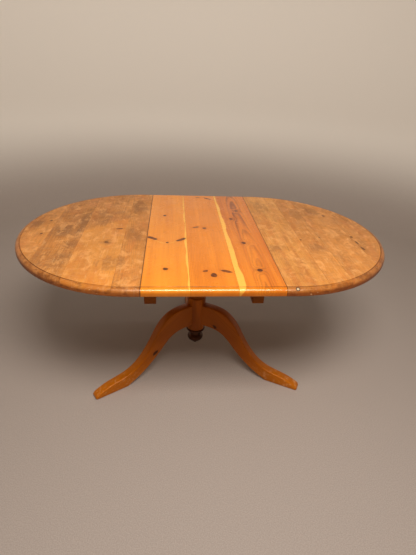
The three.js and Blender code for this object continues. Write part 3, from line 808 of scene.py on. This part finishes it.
END_BOARDS = {
    "left_end_board_1": {
        "pith": (60, -90), "spacing": 5.5, "seed": 11, "soil": 0.55,
        "knots": [(-729, 97, 5, 6, 0), (-731, -61, 5, 6, 0)],
        "blots": [(-780, 60, 28, 60)],
    },
    "left_end_board_2": {
        "pith": (-75, -90), "spacing": 5.5, "seed": 12, "soil": 0.6,
        "knots": [],
        "blots": [(-640, -35, 55, 75), (-600, -300, 55, 70), (-580, -175, 35, 60),
                  (-570, 120, 40, 130)],
    },
    "left_end_board_3": {
        "pith": (90, -60), "spacing": 5.0, "seed": 13, "soil": 0.4,
        "knots": [(-397, 4, 13, 5, 10), (-434, -146, 8, 6, 0)],
        "patch": (-543, -10, 0.83),
        "blots": [(-500, 150, 55, 120), (-434, -146, 30, 22), (-400, -330, 45, 60)],
    },
    "left_end_board_4": {
        "pith": (-80, -80), "spacing": 5.5, "seed": 14, "soil": 0.4,
        "knots": [],
        "blots": [(-357, -335, 22, 60), (-330, -60, 45, 90), (-330, 330, 40, 120)],
    },
    "right_end_board_1": {
        "pith": (-110, -70), "spacing": 5.5, "seed": 21, "soil": 0.25,
        "knots": [],
        "blots": [(310, -190, 40, 35), (330, 330, 50, 100)],
        "plug": (304, -531.5, -3.9, 9),
        "changes": {"early": "#e39a48"},
    },
    "right_end_board_2": {
        "pith": (70, -90), "spacing": 5.5, "seed": 22, "soil": 0.3,
        "knots": [(427, 297, 9, 7, 0), (429, -101, 11, 8, 0)],
        "blots": [(490, -190, 35, 50), (505, 230, 40, 80)],
    },
    "right_end_board_3": {
        "pith": (95, -55), "spacing": 5.0, "seed": 23, "soil": 0.35,
        "knots": [(533, -73, 5, 6, 0), (657, 215, 6, 8, 30)],
        "blots": [(610, 280, 45, 60)],
    },
    "right_end_board_4": {
        "pith": (-85, -70), "spacing": 5.5, "seed": 24, "soil": 0.4,
        "knots": [(698, -64, 5, 7, 0), (698, -128, 4, 16, 6), (699, -192, 4, 16, 6)],
        "changes": {"early": "#cf8a44"},
    },
}


def board_material(node, look, board, overlay):
    low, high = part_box(node)
    middle = Vector(((low.x + high.x) / 2, TOP_Y, TOP_Z))
    knots = [(x - middle.x / MM, y, across, along, turn)
             for x, y, across, along, turn in board["knots"]]
    return pine(node + "_pine", look, Y_AXIS, Z_AXIS, middle, board["pith"],
                slope=board.get("slope", 0.012), spacing=board["spacing"], knots=knots,
                seed=board["seed"], overlay=overlay, changes=board.get("changes"))


for node, board in LEAF_BOARDS.items():
    overlay = leaf_surface(board.get("sap"), board.get("fold"))
    material = board_material(node, "leaf", board, overlay)
    ease_edges(stand_for(leaf_piece(node), node, material), BOARD_EASE)
for node, board in END_BOARDS.items():
    side = node.split("_")[0]
    wear = worn_end(side, board["soil"], board.get("patch"), board.get("blots", ()),
                    board.get("plug"))
    material = board_material(node, "worn", board, wear)
    slab = end_board(node, -1 if side == "left" else 1)
    ease_edges(stand_for(slab, node, material), BOARD_EASE)


# ---- Legs ----


def cubic(p0, p1, p2, p3, steps=24):
    """Points on a cubic curve with these four control points."""
    points = []
    for i in range(steps + 1):
        t = i / steps
        u = 1 - t
        points.append(tuple(u**3 * a + 3 * u * u * t * b + 3 * u * t * t * c + t**3 * d
                            for a, b, c, d in zip(p0, p1, p2, p3)))
    return points


def resampled(points, count):
    """The same line with evenly spaced points."""
    lengths = [0.0]
    for a, b in zip(points, points[1:]):
        lengths.append(lengths[-1] + math.dist(a, b))
    result, k = [], 0
    for i in range(count):
        want = lengths[-1] * i / (count - 1)
        while k < len(points) - 2 and lengths[k + 1] < want:
            k += 1
        share = (want - lengths[k]) / (lengths[k + 1] - lengths[k])
        result.append(tuple(a + (b - a) * share for a, b in zip(points[k], points[k + 1])))
    return result


def leg_lines():
    """The leg's upper and lower edges, paired from root to toe, as (distance out, height)."""
    def at(out, up):
        """A place by its shares of the leg's reach and of the root's height."""
        return (LEG_SHOULDER + out * (LEG_REACH - LEG_SHOULDER), up * LEG_TOP)

    root_up = LEG_ROOT_BOTTOM / LEG_TOP
    upper_knee, lower_knee = at(0.388, 0.683), at(0.3265, 0.438)
    upper = resampled(cubic(at(0, 1), at(0.16, 1), at(0.264, 1.02), upper_knee), 20)
    lower = resampled(cubic(at(0, root_up), at(0.16, root_up), at(0.21, 0.644), lower_knee), 20)
    shin = cubic(upper_knee, at(0.622, 0.03), at(0.749, 0.259), at(0.971, 0.076))
    calf = cubic(lower_knee, at(0.518, 0.099), at(0.647, 0.054), at(0.689, 0))
    upper += resampled(shin, 34)[1:]
    lower += resampled(calf + [at(0.96, 0)], 34)[1:]
    upper += [at(0.984, 0.064), at(0.993, 0.05), at(0.998, 0.038), at(1, 0.026)]
    lower += [at(0.975, 0), at(0.985, 0), at(0.992, 0), at(0.996, 0.004)]
    return list(zip(upper, lower))


def leg_piece(node, turn):
    """A plank-thick leg whose long edges are rounded, swept from root to toe."""
    pairs = leg_lines()
    tapers = [1.0] * (len(pairs) - len(TOE_TAPER)) + list(TOE_TAPER)
    out = Vector((math.cos(turn), math.sin(turn), 0))
    tangent = Vector((-math.sin(turn), math.cos(turn), 0))
    axis = Vector((PEDESTAL.x, PEDESTAL.y, 0))
    verts, faces, sections = [], [], []
    for (top, bottom), taper in zip(pairs, tapers):
        middle = ((top[0] + bottom[0]) / 2, (top[1] + bottom[1]) / 2)
        height = math.dist(top, bottom)
        up = ((top[0] - bottom[0]) / height, (top[1] - bottom[1]) / height)
        wide = LEG_THICKNESS / 2 * taper
        edge = min(LEG_EDGE_ROUND, height * 0.4)
        section = []
        for corner, (sign_v, sign_u) in enumerate(((1, 1), (-1, 1), (-1, -1), (1, -1))):
            for v, u in arc((sign_v * (wide - edge), sign_u * (height / 2 - edge)), (edge, edge),
                            90 * corner, 90 * corner + 90, LEG_ROUND_STEPS):
                place = (middle[0] + up[0] * u, max(0.0, middle[1] + up[1] * u))
                section.append(len(verts))
                verts.append(axis + out * place[0] + tangent * v + Z_AXIS * place[1])
        sections.append(section)
    count = len(sections[0])
    for near, far in zip(sections, sections[1:]):
        faces += [(near[i], near[(i + 1) % count], far[(i + 1) % count], far[i])
                  for i in range(count)]
    faces += [tuple(sections[0]), tuple(sections[-1])]
    return new_piece(node + "_wood", verts, faces, sharp_angle=40)


# Each leg's knot as (distance from the column's axis, height, half sizes), in mm.
LEG_KNOTS = {
    "leg_1": (262, 146, 8, 14),
    "leg_2": (121, 247, 7, 11),
    "leg_3": (230, 200, 6, 9),
}


def scuffs_and_painted_light_on_toe(g, surface):
    """Pale scuffs low down, where feet and brooms knock the leg, over painted light: the low part
    of the leg painted lighter and more orange, where the lamp reaches it.
    """
    low = g.spread(g.split(surface.coords)[2], 120 * MM, 10 * MM)
    scuffs = g.noise(surface.coords, scale=55, detail=6, roughness=0.7)
    scuffs = g.times(g.spread(scuffs, 0.5, 0.7), low)
    # Painted light: the low part of the leg is washed lighter and more orange.
    surface.paint(low, tint("#c8740e"), 0.3)
    surface.paint(scuffs, tint("#d8a070"), 0.5)
    surface.roughen(scuffs, 0.15)


# The third leg points to the back, and each leg stands a third of a turn on from the last.
for index, (node, knot) in enumerate(LEG_KNOTS.items()):
    turn = math.pi / 2 + LEG_TURN + (index + 1) * LEG_SPACING
    out = Vector((math.cos(turn), math.sin(turn), 0))
    side = Vector((-math.sin(turn), math.cos(turn), 0))
    along = out * math.cos(LEG_GRAIN_FALL) - Z_AXIS * math.sin(LEG_GRAIN_FALL)
    root = Vector((PEDESTAL.x, PEDESTAL.y, LEG_TOP)) + out * LEG_SHOULDER
    place = out * (knot[0] * MM - LEG_SHOULDER) + Z_AXIS * (knot[1] * MM - LEG_TOP)
    knots = [(place.dot(along.cross(side)) / MM, place.dot(along) / MM, knot[2], knot[3], 0)]
    material = pine(node + "_pine", "pedestal", along, side, root, (60, -70), spacing=5.5,
                    knots=knots, seed=31 + index, overlay=scuffs_and_painted_light_on_toe)
    stand_for(leg_piece(node, turn), node, material)

# ---- Column and finial ----


def column_profile():
    """Plain length, vase, bead, cove, cap and tenon, from the bottom up."""
    bottom = COLUMN_LOW.z
    plain_top = LEG_TOP + COLUMN_ABOVE_LEGS
    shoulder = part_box("top_block")[0].z - JOINT_GAP
    cap_bottom = shoulder - CAP_HEIGHT
    bead_bottom = cap_bottom - CAP_COVE - 2 * BEAD_HALF
    vase_bottom = plain_top + NECK_RISE
    belly = vase_bottom + (bead_bottom - vase_bottom) * VASE_BELLY
    cap_round_radius = CAP_RADIUS - SMALL_ROUND
    small, bead = (SMALL_ROUND, SMALL_ROUND), (BEAD_HALF, BEAD_HALF)
    return [
        (0, bottom),
        *arc((COLUMN_RADIUS - SMALL_ROUND, bottom + SMALL_ROUND), small, -90, 0, 4),
        *arc((COLUMN_RADIUS - BEAD_HALF, plain_top - BEAD_HALF), bead, 0, 90, 8),
        *arc((NECK_RADIUS, belly), (VASE_RADIUS - NECK_RADIUS, belly - vase_bottom), -90, 0, 16),
        *arc((UPPER_NECK_RADIUS, belly), (VASE_RADIUS - UPPER_NECK_RADIUS, bead_bottom - belly),
             0, 90, 24),
        *arc((UPPER_NECK_RADIUS, bead_bottom + BEAD_HALF), (BEAD_OUT, BEAD_HALF), -90, 90, 12),
        *arc((cap_round_radius, cap_bottom - CAP_COVE),
             (cap_round_radius - UPPER_NECK_RADIUS, CAP_COVE), 180, 90, 10),
        *arc((cap_round_radius, cap_bottom + SMALL_ROUND), small, -90, 0, 4),
        *arc((cap_round_radius, shoulder - SMALL_ROUND), small, 0, 90, 4),
        (TENON_RADIUS, shoulder),
        (TENON_RADIUS, COLUMN_HIGH.z),
        (0, COLUMN_HIGH.z),
    ]


def finial_profile():
    """Nub, bulb, neck and collar, from the bottom up."""
    top = COLUMN_LOW.z - JOINT_GAP
    neck_top = top - FINIAL_COLLAR_HEIGHT
    bulb_middle = neck_top - FINIAL_NECK_HEIGHT - FINIAL_BULB_HALF_HEIGHT
    nub_middle = bulb_middle - FINIAL_BULB_HALF_HEIGHT - FINIAL_NUB_RADIUS / 2
    half_collar = FINIAL_COLLAR_HEIGHT / 2
    return [
        *arc((0, nub_middle), (FINIAL_NUB_RADIUS, FINIAL_NUB_RADIUS), -90, 30, 12),
        *arc((0, bulb_middle), (FINIAL_BULB_RADIUS, FINIAL_BULB_HALF_HEIGHT), -72, 45, 24),
        (FINIAL_NECK_RADIUS, neck_top),
        *arc((FINIAL_COLLAR_RADIUS - half_collar, top - half_collar), (half_collar, half_collar),
             -90, 90, 12),
        (0, top),
    ]


# The finial's colours: a dark stain, painted darker still as painted shade, as it hangs low under
# the top and legs.
DARK_STAIN_AND_SHADE = {"early": "#2c1006", "heart": "#200b04", "late": "#140602", "knot": "#0c0402"}
# The pedestal's colours painted darker, as painted shade, for the bearers and block that sit in the
# top's shadow.
PEDESTAL_PAINTED_SHADE = {"early": "#8a4a08", "heart": "#783b06", "late": "#542602"}
PEDESTAL_AXIS = (PEDESTAL.x, PEDESTAL.y)
column_pine = pine("column_pine", "pedestal", Z_AXIS, Y_AXIS, (*PEDESTAL_AXIS, 0.3), (4, 7),
                   spacing=5.0, seed=41)
finial_pine = pine("finial_pine", "pedestal", Z_AXIS, Y_AXIS, (*PEDESTAL_AXIS, 0.15), (-3, 4),
                   spacing=5.0, seed=42, changes=DARK_STAIN_AND_SHADE)
column = revolve("column_wood", column_profile(), PEDESTAL_AXIS, 96)
stand_for(column, "column", column_pine)
finial = revolve("finial_wood", finial_profile(), PEDESTAL_AXIS, 72)
stand_for(finial, "finial", finial_pine)

# ---- Frame pieces: the CAD solids with eased edges ----


def dress(node, material, edge):
    """Gives a carried-over CAD piece its material and eased edges."""
    piece = frame["nodes"][node]
    piece.data.materials.clear()
    piece.data.materials.append(material)
    return ease_edges(piece, edge)


def frame_pine(node, look, along, seed):
    low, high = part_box(node)
    middle = (low + high) / 2
    # Pedestal-look frame pieces get the darker copy: painted shade.
    changes = PEDESTAL_PAINTED_SHADE if look == "pedestal" else None
    return pine(node + "_pine", look, along, Z_AXIS, middle, (18, -35), spacing=5.0, seed=seed,
                changes=changes)


FRAME_NODES = {
    "left_bearer": ("pedestal", Y_AXIS), "right_bearer": ("pedestal", Y_AXIS),
    "top_block": ("pedestal", X_AXIS),
    "guide_rail_front": ("frame", X_AXIS), "guide_rail_back": ("frame", X_AXIS),
    "leaf_batten_front": ("frame", X_AXIS), "leaf_batten_back": ("frame", X_AXIS),
}
for side in ("left", "right"):
    for place in ("front", "back"):
        FRAME_NODES[f"{side}_runner_{place}"] = ("frame", X_AXIS)
        FRAME_NODES[f"{side}_stop_block_{place}"] = ("frame", X_AXIS)
for seed, (node, (look, along)) in enumerate(FRAME_NODES.items(), start=51):
    dress(node, frame_pine(node, look, along, seed), FRAME_EASE)


def steel():
    g = Graph("dull_steel")
    coords = g.add("ShaderNodeTexCoord").outputs["Object"]
    blotch = g.noise(coords, scale=160, detail=4)
    colour = g.mix(g.spread(blotch, 0.35, 0.7), tint("#a9a7a0"), tint("#7d7868"))
    roughness = g.spread(blotch, 0.3, 0.7, 0.28, 0.5)
    material = g.finish(colour, roughness, blotch, 0.05 * MM)
    g.shader.inputs["Metallic"].default_value = 1.0
    return material


STEEL = steel()
for node in frame["nodes"]:
    if "screw" in node or "bolt" in node:
        dress(node, STEEL, STEEL_EASE)

# ---- Floor, light and camera ----

STAGE_RADIUS = 3.6
STAGE_BEND = 1.0
STAGE_HEIGHT = 3.0

CAMERA_PLACE = (-0.151, -1.731, 1.473)
CAMERA_TURN = math.radians(-6.01)
CAMERA_FALL = math.radians(29.55)
CAMERA_ROLL = math.radians(3.02)
CAMERA_LENS = 25.15
SENSOR_WIDTH = 36


def floor():
    """A pale floor that bends up into a plain backdrop far away on every side."""
    profile = [(0, 0), *arc((STAGE_RADIUS - STAGE_BEND, STAGE_BEND), (STAGE_BEND, STAGE_BEND),
                            -90, 0, 24), (STAGE_RADIUS, STAGE_HEIGHT)]
    piece = revolve("floor", profile, (0, 0), 96, closed=False)
    g = Graph("pale_floor")
    coords = g.add("ShaderNodeTexCoord").outputs["Object"]
    weave = g.noise(coords, scale=240, detail=3)
    colour = g.mix(g.spread(weave, 0.3, 0.7), tint("#a89a90"), tint("#9a8c83"))
    height = g.split(coords)[2]
    colour = g.mix(g.spread(height, 0.02, 0.8), colour, tint("#f0e6da"))
    piece.data.materials.append(g.finish(colour, 0.9, weave, 0.5 * MM))


def area_light(name, place, aim, size, power, colour):
    data = bpy.data.lights.new(name, "AREA")
    data.shape = "RECTANGLE"
    data.size, data.size_y = size
    data.energy = power
    data.color = colour
    light = bpy.data.objects.new(name, data)
    bpy.context.scene.collection.objects.link(light)
    light.location = place
    light.rotation_euler = (Vector(aim) - Vector(place)).to_track_quat("-Z", "Y").to_euler()


def lights():
    world = bpy.data.worlds.new("studio")
    world.use_nodes = True
    background = world.node_tree.nodes["Background"]
    background.inputs["Color"].default_value = tint("#f3ece4")
    background.inputs["Strength"].default_value = 0.17
    bpy.context.scene.world = world
    area_light("ceiling_lamp", place=(0.15, -1.6, 2.65), aim=(0, -0.1, 0.6), size=(1.3, 0.8),
               power=84, colour=(1.0, 0.97, 0.92))
    area_light("wall_wash", place=(0, 1.2, 2.9), aim=(0, 3.5, 1.3), size=(3.0, 0.4),
               power=20, colour=(1.0, 0.95, 0.88))


def camera():
    """A camera at standing height in front of the table, a little to the left."""
    data = bpy.data.cameras.new("camera")
    data.lens = CAMERA_LENS
    data.sensor_width = SENSOR_WIDTH
    forward = Vector((-math.sin(CAMERA_TURN), math.cos(CAMERA_TURN), 0))
    ahead = forward * math.cos(CAMERA_FALL) - Z_AXIS * math.sin(CAMERA_FALL)
    right = Vector((math.cos(CAMERA_TURN), math.sin(CAMERA_TURN), 0))
    up = right.cross(ahead)
    right, up = (right * math.cos(CAMERA_ROLL) + up * math.sin(CAMERA_ROLL),
                 up * math.cos(CAMERA_ROLL) - right * math.sin(CAMERA_ROLL))
    axes = Matrix((right, up, -ahead)).transposed().to_4x4()
    view = bpy.data.objects.new("camera", data)
    bpy.context.scene.collection.objects.link(view)
    view.matrix_world = Matrix.Translation(CAMERA_PLACE) @ axes
    bpy.context.scene.camera = view


floor()
lights()
camera()
bpy.context.scene.view_settings.view_transform = "Standard"
